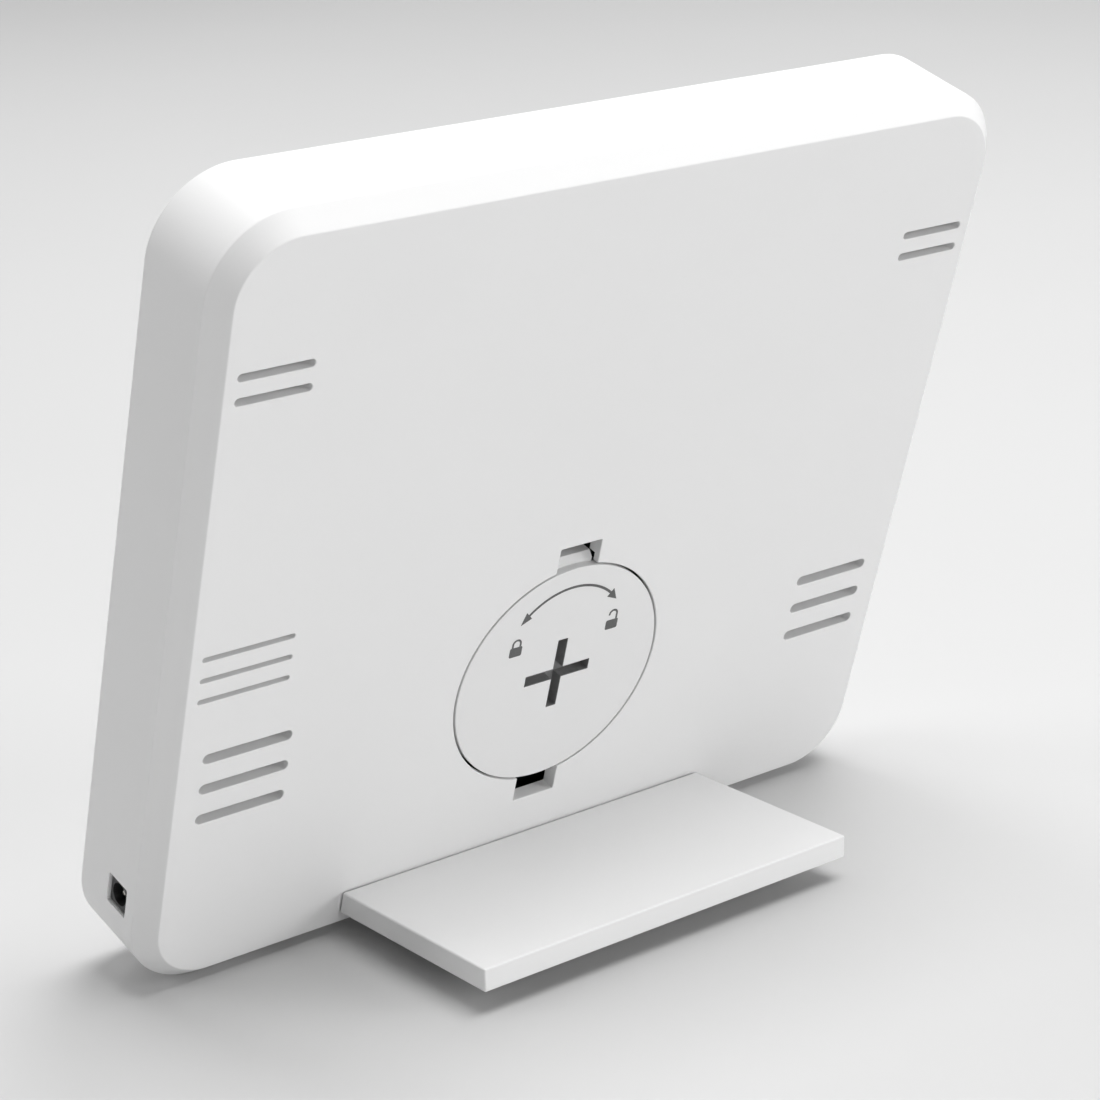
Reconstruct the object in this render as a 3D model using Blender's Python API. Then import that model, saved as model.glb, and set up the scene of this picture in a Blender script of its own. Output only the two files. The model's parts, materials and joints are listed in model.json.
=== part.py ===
"""Digital photo frame: a leaning case with a screen, held up by a plate foot behind it.

Metres, +Z up, the screen facing -Y. The origin is on the table, under the middle of the whole object.
Case pieces are modelled upright in the case's own frame: X across, Y from the front edge to the back, Z up
from the bottom wall. They lean back with the empty that carries them. Foot pieces are modelled in a frame on
the table whose Y starts at the edge that the case stands on. Right is +X, as seen by someone who looks at the
screen.
"""

import math
from collections import namedtuple

import bmesh
import bpy

MM = 0.001
GAP = 0.3 * MM  # between two pieces that touch in the real object

CASE_WIDTH = 140 * MM
CASE_HEIGHT = 124.6 * MM
CASE_DEPTH = 17 * MM
CASE_CORNER = 12.3 * MM
REAR_CHAMFER = 2.8 * MM
WALL = 2.4 * MM
LEAN = math.radians(17.4)

BEZEL_SEAT = 1.1 * MM  # from the case's outline in to the seat's edge
BEZEL_FACE = 0.2 * MM
BEZEL_BACK = 2.2 * MM
HOOK_LENGTH = 8 * MM
HOOK_DEPTH = 4.7 * MM

SCREEN_WIDTH = 113 * MM
SCREEN_HEIGHT = 84.7 * MM
SCREEN_MIDDLE = 68.6 * MM
WINDOW_FRONT = 1.5 * MM
GASKET_FRONT = 2.8 * MM
MODULE_FRONT = 3.5 * MM
MODULE_BACK = 8 * MM
MODULE_WIDTH = 126.5 * MM
MODULE_HEIGHT = 100 * MM

BOARD_FRONT = 9.6 * MM
BOARD_THICKNESS = 1.2 * MM
BOARD_BACK = BOARD_FRONT + BOARD_THICKNESS
PARTS_FRONT = BOARD_BACK + GAP  # where parts on the board's rear face start
POST_PLACES = [(x * MM, z * MM) for x in (-42, 42) for z in (14.5, 58)]
POST_RADIUS = 2.6 * MM
PILOT_RADIUS = 1.1 * MM  # the hole that a screw's thread cuts into
HEAD_RADIUS = 1.9 * MM
SHANK_RADIUS = 0.85 * MM
TIP_RADIUS = 0.4 * MM

COVER_MIDDLE = 38.3 * MM
COVER_RADIUS = 18.9 * MM
COVER_THICKNESS = 1.5 * MM
COVER_OPENING = 19.15 * MM
TAB_REACH = 20 * MM
TAB_WIDTH = 7.2 * MM
TAB_BACK = CASE_DEPTH - 1.35 * MM
TAB_FRONT = CASE_DEPTH - 3.8 * MM
NOTCH_REACH = 23 * MM
NOTCH_WIDTH = 7.8 * MM
LIP = 1.1 * MM  # rear wall left over the tabs
CHANNEL_RADIUS = 20.4 * MM
COVER_TURN = math.radians(45)
STOP_CLEARANCE = math.radians(13.5)  # from a tab's middle to the rib that stops it
STOP_WIDTH = 1.2 * MM
SKIRT_OUTSIDE = 18.2 * MM
SKIRT_INSIDE = 16.6 * MM
CROSS_REACH = 6.1 * MM
CROSS_WIDTH = 1.8 * MM
CROSS_DEPTH = 1.9 * MM
BOSS_RADIUS = 7 * MM  # the boss inside the cover that the cross is sunk in
BOSS_BACK = 2.6 * MM  # below the cover's outer face

CELL_RADIUS = 10 * MM
CELL_THICKNESS = 2.5 * MM
FOAM_RADIUS = 9.6 * MM  # the ring that presses the cell
CELL_FRONT = PARTS_FRONT + 0.5 * MM
HOLDER_OUTSIDE = 12.4 * MM
HOLDER_INSIDE = 10.4 * MM
HOLDER_HOLE = 6 * MM

SPEAKER_X = 55.9 * MM
SPEAKER_MIDDLE = 36.6 * MM
SPEAKER_FRONT = 11.4 * MM
SPEAKER_BACK = CASE_DEPTH - WALL - GAP
SOCKET_X = 38 * MM  # where each speaker's lead plugs in to the board
SOCKET_MIDDLE = 29.5 * MM

# Slots through the rear wall: the middle of each group, each slot's size, how many and how far apart.
Slots = namedtuple("Slots", "x height length width count pitch")
TOP_VENT_X = 59.35 * MM
VENTS = [Slots(side * TOP_VENT_X, 101 * MM, 12 * MM, 1.2 * MM, 2, 3.6 * MM) for side in (-1, 1)]
VENTS += [Slots(side * SPEAKER_X, SPEAKER_MIDDLE, 14.8 * MM, 1.7 * MM, 3, 5.25 * MM) for side in (-1, 1)]
VENTS.append(Slots(57.9 * MM, 55.7 * MM, 15 * MM, 0.8 * MM, 3, 3.5 * MM))

INLET_DEPTH = 9.6 * MM
INLET_MIDDLE = 15.1 * MM
INLET_WIDTH = 4.8 * MM
INLET_HEIGHT = 5 * MM

FOOT_WIDTH = 70 * MM
FOOT_LENGTH = 35 * MM  # out from the case along the top face
FOOT_UNDERSIDE = 3.7 * MM
FOOT_THICKNESS = 3.6 * MM
FOOT_TOP = FOOT_UNDERSIDE + FOOT_THICKNESS
TONGUE_WIDTH = 58 * MM
TONGUE_SETBACK = 0.6 * MM  # from each face of the foot to the tongue's
TONGUE_END = -4.3 * MM
TONGUE_ROOT = 10 * MM  # inside the foot's plate
FOOT_SCREW_X = 20 * MM
FOOT_SCREW_Y = -1 * MM
PAD_RADIUS = 4 * MM
STEM_RADIUS = 1.5 * MM
PAD_X = 24 * MM
PAD_Y = 26.5 * MM

CORNER_STEPS = 9
ROUND_STEPS = 48
SMALL_STEPS = 20


def panel_y(z):
    """Where the case's rear face is at a height above the table, in the table's frame."""
    return REAR_CHAMFER * math.cos(LEAN) + (z + REAR_CHAMFER * math.sin(LEAN)) * math.tan(LEAN)


RESTING_DEPTH = CASE_DEPTH - REAR_CHAMFER  # the case stands on the edge where the chamfer starts
FOOT_END = panel_y(FOOT_TOP) + FOOT_LENGTH
FRONT_REACH = RESTING_DEPTH * math.cos(LEAN)
MIDDLE_Y = (FOOT_END - FRONT_REACH) / 2


def clear_scene():
    for obj in list(bpy.data.objects):
        bpy.data.objects.remove(obj)


def finish(name, colour, roughness, metallic=0.0, alpha=1.0):
    """A material, made once for all the pieces that share it."""
    material = bpy.data.materials.get(name) or bpy.data.materials.new(name)
    material.use_nodes = True
    shader = material.node_tree.nodes["Principled BSDF"]
    shader.inputs["Base Color"].default_value = (*colour, 1)
    shader.inputs["Roughness"].default_value = roughness
    shader.inputs["Metallic"].default_value = metallic
    shader.inputs["Alpha"].default_value = alpha
    material.diffuse_color = (*colour, alpha)
    return material


def frame_empty(name, location, turn=0.0):
    empty = bpy.data.objects.new(name, None)
    bpy.context.scene.collection.objects.link(empty)
    empty.location = location
    empty.rotation_euler = (turn, 0, 0)
    return empty


def rounded(width, height, radius, middle=(0, 0), steps=CORNER_STEPS):
    """(x, z) points of a rounded rectangle."""
    points = []
    corners = ((1, 1), (-1, 1), (-1, -1), (1, -1))
    for quarter, (side, end) in enumerate(corners):
        x = middle[0] + side * (width / 2 - radius)
        z = middle[1] + end * (height / 2 - radius)
        for step in range(steps + 1):
            angle = (quarter + step / steps) * math.pi / 2
            points.append((x + radius * math.cos(angle), z + radius * math.sin(angle)))
    return points


def circle(radius, middle=(0, 0), steps=ROUND_STEPS):
    turns = [2 * math.pi * step / steps for step in range(steps)]
    return [(middle[0] + radius * math.cos(a), middle[1] + radius * math.sin(a)) for a in turns]


def rectangle(x0, x1, z0, z1):
    return [(x1, z1), (x0, z1), (x0, z0), (x1, z0)]


def along_y(outline, depth):
    return [(x, depth, z) for x, z in outline]


def along_x(outline, x):
    return [(x, y, z) for y, z in outline]


def along_z(outline, z):
    return [(x, y, z) for x, y in outline]


def add_rings(body, rings, closed):
    rows = [[body.verts.new(point) for point in ring] for ring in rings]
    pairs = list(zip(rows, rows[1:]))
    if closed:
        pairs.append((rows[-1], rows[0]))
    else:
        body.faces.new(rows[0])
        body.faces.new(rows[-1])
    for lower, upper in pairs:
        for i in range(len(lower)):
            j = (i + 1) % len(lower)
            body.faces.new((lower[i], lower[j], upper[j], upper[i]))


def link_mesh(name, body, parent, material, smooth):
    bmesh.ops.recalc_face_normals(body, faces=body.faces)
    mesh = bpy.data.meshes.new(name)
    body.to_mesh(mesh)
    body.free()
    obj = bpy.data.objects.new(name, mesh)
    bpy.context.scene.collection.objects.link(obj)
    obj.parent = parent
    if material:
        mesh.materials.append(material)
    if smooth:
        mesh.shade_smooth()
        mesh.set_sharp_from_angle(angle=math.radians(30))
    return obj


def loft(name, rings, parent, material=None, closed=False, smooth=True):
    """A closed body through rings of equal length: capped at both ends, or closed on itself."""
    body = bmesh.new()
    add_rings(body, rings, closed)
    return link_mesh(name, body, parent, material, smooth)


def plate(name, outline, front, back, parent, material=None):
    return loft(name, [along_y(outline, front), along_y(outline, back)], parent, material)


def border(name, outer, inner, front, back, parent, material=None):
    """A flat frame between two outlines with the same number of points."""
    rings = [along_y(outer, front), along_y(outer, back), along_y(inner, back), along_y(inner, front)]
    return loft(name, rings, parent, material, closed=True)


def plates(name, outlines, front, back, parent):
    """Several separate plates in one mesh, for a cutter or for shapes that a union joins."""
    body = bmesh.new()
    for outline in outlines:
        add_rings(body, [along_y(outline, front), along_y(outline, back)], closed=False)
    return link_mesh(name, body, parent, None, smooth=False)


def tool(obj):
    """Turns an object into a helper that is neither shown nor built."""
    obj.hide_render = True
    obj.display_type = "WIRE"
    return obj


def boolean(target, other, operation):
    modifier = target.modifiers.new(f"{operation.lower()} {other.name}", "BOOLEAN")
    modifier.operation = operation
    modifier.solver = "EXACT"
    modifier.object = tool(other)


def cut(target, *cutters):
    for cutter in cutters:
        boolean(target, cutter, "DIFFERENCE")


def join(target, *additions):
    for addition in additions:
        boolean(target, addition, "UNION")


def case_outline(inset):
    """The case's outline, moved in by a distance."""
    middle = (0, CASE_HEIGHT / 2)
    return rounded(CASE_WIDTH - 2 * inset, CASE_HEIGHT - 2 * inset, CASE_CORNER - inset, middle)


def screen_outline(margin, radius=1.5 * MM):
    """An outline round the screen's picture area, larger by a margin on each side."""
    width = SCREEN_WIDTH + 2 * margin
    height = SCREEN_HEIGHT + 2 * margin
    return rounded(width, height, radius, (0, SCREEN_MIDDLE), steps=4)


def vent_outlines():
    """Level slots with nearly round ends, one above another in each group."""
    outlines = []
    for slots in VENTS:
        lowest = slots.height - slots.pitch * (slots.count - 1) / 2
        for i in range(slots.count):
            middle = (slots.x, lowest + slots.pitch * i)
            outlines.append(rounded(slots.length, slots.width, 0.499 * slots.width, middle, steps=5))
    return outlines


def turned_rectangle(radius_in, radius_out, width, angle):
    """A rectangle between two radii from the cover's centre, at an angle from straight up towards +X."""
    corners = ((-1, radius_in), (1, radius_in), (1, radius_out), (-1, radius_out))
    points = []
    for side, reach in corners:
        across = side * width / 2
        x = across * math.cos(angle) + reach * math.sin(angle)
        z = reach * math.cos(angle) - across * math.sin(angle)
        points.append((x, COVER_MIDDLE + z))
    return points


def housing_cavity(case):
    """The hollow inside the case, with a step at the front where the bezel sits."""
    seat = case_outline(BEZEL_SEAT)
    inside = case_outline(WALL)
    rings = [along_y(seat, -MM), along_y(seat, BEZEL_BACK), along_y(inside, BEZEL_BACK)]
    rings.append(along_y(inside, CASE_DEPTH - WALL))
    return loft("housing_cavity", rings, case)


def hook_rectangles(inner, outer, spare):
    """Rectangles on the four walls, two to a wall, between two insets from the case's outline."""
    half = HOOK_LENGTH / 2 + spare
    heights = (0.3 * CASE_HEIGHT, 0.75 * CASE_HEIGHT)
    places = (-0.3 * CASE_WIDTH, 0.3 * CASE_WIDTH)
    boxes = []
    for side in (-1, 1):
        x0, x1 = sorted((side * (CASE_WIDTH / 2 - inner), side * (CASE_WIDTH / 2 - outer)))
        boxes += [rectangle(x0, x1, z - half, z + half) for z in heights]
        edge = CASE_HEIGHT / 2 * (1 + side)
        z0, z1 = sorted((edge - side * inner, edge - side * outer))
        boxes += [rectangle(x - half, x + half, z0, z1) for x in places]
    return boxes


def bayonet_stops(case):
    """Four ribs in the cover's channel: the tabs meet them at both ends of the turn."""
    radius_in, radius_out = CHANNEL_RADIUS - MM, CHANNEL_RADIUS + MM
    outlines = []
    for start in (0, math.pi):
        for angle in (start - STOP_CLEARANCE, start + COVER_TURN + STOP_CLEARANCE):
            outlines.append(turned_rectangle(radius_in, radius_out, STOP_WIDTH, angle))
    return plates("bayonet_stops", outlines, CASE_DEPTH - WALL, CASE_DEPTH - 0.5 * LIP, case)


def cover_cutters(case):
    """The cover's opening, the channel that its tabs turn in, and the notches that they come in through."""
    beyond = CASE_DEPTH + MM
    inside = CASE_DEPTH - WALL - MM
    middle = (0, COVER_MIDDLE)
    opening = plate("cover_opening", circle(COVER_OPENING, middle, 2 * ROUND_STEPS), inside, beyond, case)
    channel = plate("cover_channel", circle(CHANNEL_RADIUS, middle), inside, CASE_DEPTH - LIP, case)
    start = COVER_OPENING - 4 * MM
    notches = [turned_rectangle(start, NOTCH_REACH, NOTCH_WIDTH, angle) for angle in (0, math.pi)]
    return opening, channel, plates("cover_notches", notches, inside, beyond, case)


def foot_slot(table):
    """The hole in the rear wall that the foot's tongue goes through."""
    spare = 0.25 * MM
    low = FOOT_UNDERSIDE + TONGUE_SETBACK - spare
    high = FOOT_TOP - TONGUE_SETBACK + spare
    inside, outside = panel_y(low) - WALL - 2 * MM, panel_y(high) + 3 * MM
    side = [(inside, low), (outside, low), (outside, high), (inside, high)]
    half = TONGUE_WIDTH / 2 + spare
    return loft("foot_slot", [along_x(side, -half), along_x(side, half)], table)


def upright_round(name, radius, low, high, places, table, material=None):
    """Upright cylinders in one mesh, in the table's frame."""
    body = bmesh.new()
    for place in places:
        outline = circle(radius, place, SMALL_STEPS)
        add_rings(body, [along_z(outline, low), along_z(outline, high)], closed=False)
    return link_mesh(name, body, table, material, smooth=True)


def rear_housing(case, table):
    """The tray that holds everything: walls and rear face in one moulding, with posts and bosses inside."""
    white = finish("white_abs", (0.80, 0.80, 0.80), 0.45)
    outline = case_outline(0)
    rings = [along_y(outline, 0), along_y(outline, RESTING_DEPTH)]
    rings.append(along_y(case_outline(REAR_CHAMFER), CASE_DEPTH))
    housing = loft("rear_housing", rings, case, white)
    cut(housing, housing_cavity(case))

    inner_face = CASE_DEPTH - WALL
    posts = [circle(POST_RADIUS, place, SMALL_STEPS) for place in POST_PLACES]
    join(housing, plates("board_posts", posts, PARTS_FRONT, inner_face + MM, case))
    screw_places = [(side * FOOT_SCREW_X, FOOT_SCREW_Y) for side in (-1, 1)]
    top = FOOT_UNDERSIDE + TONGUE_SETBACK - GAP
    foot = 1.4 * MM  # inside the bottom wall, so that the union joins them
    join(housing, upright_round("foot_bosses", POST_RADIUS, foot, top, screw_places, table))

    cut(housing, *cover_cutters(case))
    join(housing, bayonet_stops(case))
    pilots = [circle(PILOT_RADIUS, place, SMALL_STEPS) for place in POST_PLACES]
    cut(housing, plates("post_pilots", pilots, PARTS_FRONT - MM, inner_face - GAP, case))
    cut(housing, upright_round("boss_pilots", PILOT_RADIUS, foot + MM / 2, top + MM, screw_places, table))
    cut(housing, plates("vents", vent_outlines(), inner_face - MM, CASE_DEPTH + MM, case))
    pockets = hook_rectangles(WALL + 0.5 * MM, WALL - 0.8 * MM, GAP)
    cut(housing, plates("hook_pockets", pockets, HOOK_DEPTH - GAP, HOOK_DEPTH + MM + GAP, case))
    inlet = rounded(INLET_WIDTH, INLET_HEIGHT, 0.3 * MM, (INLET_DEPTH, INLET_MIDDLE), steps=3)
    wall_in = CASE_WIDTH / 2 - WALL - MM
    cut(housing, loft("inlet_opening", [along_x(inlet, wall_in), along_x(inlet, wall_in + 5 * MM)], case))
    cut(housing, foot_slot(table))


def front_bezel(case):
    """The face round the screen, with a skirt that goes inside the housing and eight snap hooks on it."""
    white = finish("white_bezel", (0.82, 0.82, 0.82), 0.4)
    face = case_outline(BEZEL_SEAT + 0.2 * MM)
    bezel = plate("front_bezel", face, BEZEL_FACE, BEZEL_BACK - GAP, case, white)
    skirt_outside = WALL + GAP
    skirt_inside = skirt_outside + 1.2 * MM
    skirt = border(
        "bezel_skirt", case_outline(skirt_outside), case_outline(skirt_inside), 1.2 * MM, 6.2 * MM, case
    )
    hooks = hook_rectangles(skirt_outside + 0.6 * MM, skirt_outside - 0.8 * MM, 0)
    join(bezel, skirt, plates("bezel_hooks", hooks, HOOK_DEPTH, HOOK_DEPTH + MM, case))
    ledge = 1.2 * MM
    opening = screen_outline(MM)
    pocket = screen_outline(4.3 * MM)
    rings = [along_y(opening, -MM), along_y(opening, ledge), along_y(pocket, ledge), along_y(pocket, 3 * MM)]
    cut(bezel, loft("window_pocket", rings, case))


def screen_window(case):
    """The clear sheet in the bezel's pocket, and the foam strip between it and the screen."""
    glass = finish("clear_window", (0.05, 0.05, 0.055), 0.05, alpha=0.35)
    plate("screen_window", screen_outline(4 * MM), WINDOW_FRONT, WINDOW_FRONT + MM, case, glass)
    foam = finish("black_foam", (0.03, 0.03, 0.03), 0.95)
    outer, inner = screen_outline(4 * MM), screen_outline(2 * MM)
    border("window_gasket", outer, inner, GASKET_FRONT, GASKET_FRONT + 0.4 * MM, case, foam)


def screen_module(case):
    """The display, from its pressed frame at the front to its back plate."""
    steel = finish("module_steel", (0.62, 0.63, 0.65), 0.35, metallic=1.0)
    middle = (0, SCREEN_MIDDLE)
    skin = 0.8 * MM
    outside = rounded(MODULE_WIDTH, MODULE_HEIGHT, 1.2 * MM, middle, steps=4)
    inside = rounded(MODULE_WIDTH - 2 * skin, MODULE_HEIGHT - 2 * skin, 0.4 * MM, middle, steps=4)
    window = screen_outline(1.3 * MM, 0.5 * MM)
    flange = MODULE_FRONT + 0.4 * MM
    rings = [along_y(outside, MODULE_FRONT), along_y(outside, MODULE_BACK), along_y(inside, MODULE_BACK)]
    rings += [along_y(inside, flange), along_y(window, flange), along_y(window, MODULE_FRONT)]
    loft("lcd_frame", rings, case, steel, closed=True)

    def layer(name, width, height, front, thickness, material):
        outline = rounded(width, height, 0.3 * MM, middle, steps=2)
        plate(name, outline, front, front + thickness, case, material)

    glass = finish("lcd_glass", (0.02, 0.02, 0.025), 0.12)
    layer("lcd_glass", 120.5 * MM, 93.5 * MM, 4.2 * MM, 1.1 * MM, glass)
    diffuser = finish("diffuser_film", (0.9, 0.9, 0.9), 0.8)
    layer("diffuser_sheet", 119.5 * MM, 90 * MM, 5.6 * MM, 0.2 * MM, diffuser)
    acrylic = finish("clear_acrylic", (0.9, 0.93, 0.93), 0.08, alpha=0.5)
    layer("light_guide", 119.5 * MM, 90 * MM, 6.1 * MM, 1.4 * MM, acrylic)
    layer("lcd_back_plate", 124.3 * MM, 97.8 * MM, 7.8 * MM, 0.4 * MM, steel)
    strip = rectangle(-55 * MM, 55 * MM, 21.6 * MM, 23.2 * MM)
    leds = finish("led_strip", (0.9, 0.9, 0.85), 0.5)
    plate("led_strip", strip, 6.1 * MM, 7.5 * MM, case, leds)


def display_flex(case):
    """The ribbon from the module's lower edge to the board, an S in side view, and its socket."""
    amber = finish("polyimide_film", (0.55, 0.27, 0.05), 0.4)
    thickness = 0.2 * MM
    start, end = (5 * MM, 18.3 * MM), (8.5 * MM, 16.3 * MM)
    upper, lower = [], []
    steps = 10
    for step in range(steps + 1):
        share = step / steps
        y = start[0] + (end[0] - start[0]) * (1 - math.cos(math.pi * share)) / 2
        z = start[1] + (end[1] - start[1]) * share
        upper.append((y + thickness / 2, z))
        lower.append((y - thickness / 2, z))
    side = upper + lower[::-1]
    loft("display_flex", [along_x(side, 5 * MM), along_x(side, 25 * MM)], case, amber)
    nylon = finish("ivory_nylon", (0.75, 0.71, 0.6), 0.5)
    outline = rectangle(3.5 * MM, 26.5 * MM, 12.6 * MM, 16 * MM)
    plate("flex_connector", outline, BOARD_FRONT - GAP - 1.4 * MM, BOARD_FRONT - GAP, case, nylon)


def main_board(case):
    """The one circuit board, with a corner cut away for the power jack."""
    mask = finish("board_black_mask", (0.012, 0.02, 0.016), 0.4)
    left, right, low, high = (v * MM for v in (-46, 63, 10.5, 62))
    step_x, step_z = 54 * MM, 18.6 * MM
    outline = [(left, low), (step_x, low), (step_x, step_z), (right, step_z), (right, high), (left, high)]
    board = plate("main_board", outline, BOARD_FRONT, BOARD_BACK, case, mask)
    holes = [circle(1.2 * MM, place, SMALL_STEPS) for place in POST_PLACES]
    cut(board, plates("board_holes", holes, BOARD_FRONT - MM, BOARD_BACK + MM, case))


def board_parts(case):
    """What is soldered to the board's rear face, clear of the cover's tabs."""
    epoxy = finish("chip_epoxy", (0.02, 0.02, 0.022), 0.55)
    ferrite = finish("ferrite", (0.09, 0.09, 0.1), 0.6)
    can = finish("plated_can", (0.75, 0.75, 0.77), 0.25, metallic=1.0)
    nylon = finish("white_nylon", (0.8, 0.79, 0.74), 0.5)
    for name, x, z, width, height, thickness, material in (
        ("processor", 32, 40, 14, 14, 1.2, epoxy),
        ("memory_chip", 32, 22, 12, 8, 1.0, epoxy),
        ("flash_chip", -33, 44, 8, 12, 1.0, epoxy),
        ("power_coil", 33, 54, 6, 6, 2.6, ferrite),
        ("crystal", 23.5, 57.5, 3.2, 5, 0.9, can),
        ("speaker_connector_right", SOCKET_X / MM, SOCKET_MIDDLE / MM, 3.4, 4, 2.2, nylon),
        ("speaker_connector_left", -SOCKET_X / MM, SOCKET_MIDDLE / MM, 3.4, 4, 2.2, nylon),
    ):
        outline = rounded(width * MM, height * MM, 0.3 * MM, (x * MM, z * MM), steps=2)
        plate(name, outline, PARTS_FRONT, PARTS_FRONT + thickness * MM, case, material)
    for number, height in enumerate((21, 29), start=1):
        middle = (-31 * MM, height * MM)
        base, top = circle(2.5 * MM, middle, SMALL_STEPS), circle(2.1 * MM, middle, SMALL_STEPS)
        rings = [along_y(base, PARTS_FRONT), along_y(base, PARTS_FRONT + 2.4 * MM)]
        rings.append(along_y(top, PARTS_FRONT + 2.8 * MM))
        loft(f"capacitor_{number}", rings, case, can)


def power_jack(case):
    """The socket on the board for a 3.5 mm barrel plug. Its nose fills the opening in the right wall."""
    nylon = finish("jack_nylon", (0.03, 0.03, 0.03), 0.45)
    middle = (INLET_DEPTH, INLET_MIDDLE)
    body = rounded(5.2 * MM, 5.6 * MM, 0.4 * MM, middle, steps=3)
    nose = rounded(INLET_WIDTH - 2 * GAP, INLET_HEIGHT - 2 * GAP, 0.2 * MM, middle, steps=3)
    back = 56 * MM
    shoulder = CASE_WIDTH / 2 - WALL - GAP
    mouth = CASE_WIDTH / 2 - 0.5 * MM
    jack = loft("power_jack", [along_x(body, back), along_x(body, shoulder)], case, nylon)
    join(jack, loft("jack_nose", [along_x(nose, shoulder - MM), along_x(nose, mouth)], case))
    bore = circle(1.75 * MM, middle, 32)
    cut(jack, loft("jack_bore", [along_x(bore, back + 1.5 * MM), along_x(bore, mouth + MM)], case))
    nickel = finish("nickel_plate", (0.8, 0.78, 0.73), 0.25, metallic=1.0)
    stem, tip = circle(0.65 * MM, middle, 16), circle(0.35 * MM, middle, 16)
    end = mouth - 0.8 * MM
    rings = [along_x(stem, back + 1.8 * MM), along_x(stem, end - 0.3 * MM), along_x(tip, end)]
    loft("jack_pin", rings, case, nickel)


def battery_holder(case):
    """A low cup on the board for the clock's coin cell, with a contact below the cell and one beside it."""
    middle = (0, COVER_MIDDLE)
    nylon = finish("holder_nylon", (0.03, 0.03, 0.03), 0.5)
    outside, inside, hole = (circle(r, middle) for r in (HOLDER_OUTSIDE, HOLDER_INSIDE, HOLDER_HOLE))
    floor = PARTS_FRONT + 0.2 * MM
    rim = PARTS_FRONT + 2.4 * MM
    rings = [along_y(outside, PARTS_FRONT), along_y(outside, rim), along_y(inside, rim)]
    rings += [along_y(inside, floor), along_y(hole, floor), along_y(hole, PARTS_FRONT)]
    holder = loft("battery_holder", rings, case, nylon, closed=True)
    reach = HOLDER_OUTSIDE + 2 * MM
    gaps = [turned_rectangle(CELL_RADIUS - 2 * MM, reach, 7 * MM, math.radians(angle)) for angle in (90, 225)]
    cut(holder, plates("holder_gaps", gaps, floor + 0.1 * MM, rim + MM, case))

    steel = finish("cell_steel", (0.72, 0.72, 0.74), 0.28, metallic=1.0)
    face, edge = circle(CELL_RADIUS, middle), circle(CELL_RADIUS - 0.4 * MM, middle)
    cell_back = CELL_FRONT + CELL_THICKNESS
    rings = [along_y(edge, CELL_FRONT), along_y(face, CELL_FRONT + 0.4 * MM)]
    rings += [along_y(face, cell_back - 0.2 * MM), along_y(edge, cell_back)]
    loft("coin_cell", rings, case, steel)

    spring = finish("spring_nickel", (0.78, 0.74, 0.62), 0.3, metallic=1.0)
    tongue = rounded(9 * MM, 4.4 * MM, 1 * MM, middle, steps=4)
    plate("cell_spring", tongue, PARTS_FRONT, PARTS_FRONT + 0.2 * MM, case, spring)
    near, far = CELL_RADIUS + GAP, CELL_RADIUS + 0.6 * MM
    top = PARTS_FRONT + 2.2 * MM
    heel = PARTS_FRONT + 0.7 * MM
    toe = far + 2 * MM
    side = [(near, heel), (toe, heel), (toe, heel + GAP), (far, heel + GAP), (far, top), (near, top)]
    ends = [COVER_MIDDLE - 2.5 * MM, COVER_MIDDLE + 2.5 * MM]
    loft("cell_clip", [[(x, y, z) for x, y in side] for z in ends], case, spring)


def battery_cover(case):
    """The round rear cover and the foam ring inside it. It turns about its centre, and lifts off at rest."""
    grey_white = finish("cover_abs", (0.77, 0.77, 0.77), 0.45)
    hub = frame_empty("cover_hub", (0, CASE_DEPTH, COVER_MIDDLE))
    hub.parent = case
    underside = -COVER_THICKNESS
    disc = circle(COVER_RADIUS, steps=2 * ROUND_STEPS)
    edge = circle(COVER_RADIUS - 0.15 * MM, steps=2 * ROUND_STEPS)
    rings = [along_y(disc, underside), along_y(disc, -0.15 * MM), along_y(edge, 0)]
    cover = loft("battery_cover", rings, hub, grey_white)
    skirt_front = TAB_FRONT - CASE_DEPTH
    outside, inside = circle(SKIRT_OUTSIDE), circle(SKIRT_INSIDE)
    skirt = border("cover_skirt", outside, inside, skirt_front, underside + 0.4 * MM, hub)
    root = (SKIRT_OUTSIDE + SKIRT_INSIDE) / 2
    tabs = []
    for end in (-1, 1):
        z0, z1 = sorted((end * root, end * TAB_REACH))
        tabs.append(rectangle(-TAB_WIDTH / 2, TAB_WIDTH / 2, z0, z1))
    tab_back = TAB_BACK - CASE_DEPTH
    join(cover, skirt, plates("cover_tabs", tabs, skirt_front, tab_back, hub))
    join(cover, plate("cross_boss", circle(BOSS_RADIUS), -BOSS_BACK, underside + 0.4 * MM, hub))
    arm, half = CROSS_REACH, CROSS_WIDTH / 2
    cross = [(arm, half), (half, half), (half, arm), (-half, arm), (-half, half), (-arm, half)]
    cross += [(-x, -z) for x, z in cross]
    cut(cover, plate("cross_recess", cross, -CROSS_DEPTH, MM, hub))
    foam = finish("pad_foam", (0.05, 0.05, 0.05), 0.95)
    pad_front = CELL_FRONT + CELL_THICKNESS + GAP - CASE_DEPTH
    ring = circle(FOAM_RADIUS, steps=32), circle(BOSS_RADIUS + 0.4 * MM, steps=32)
    border("cell_pad", *ring, pad_front, underside - GAP, hub, foam)


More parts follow.
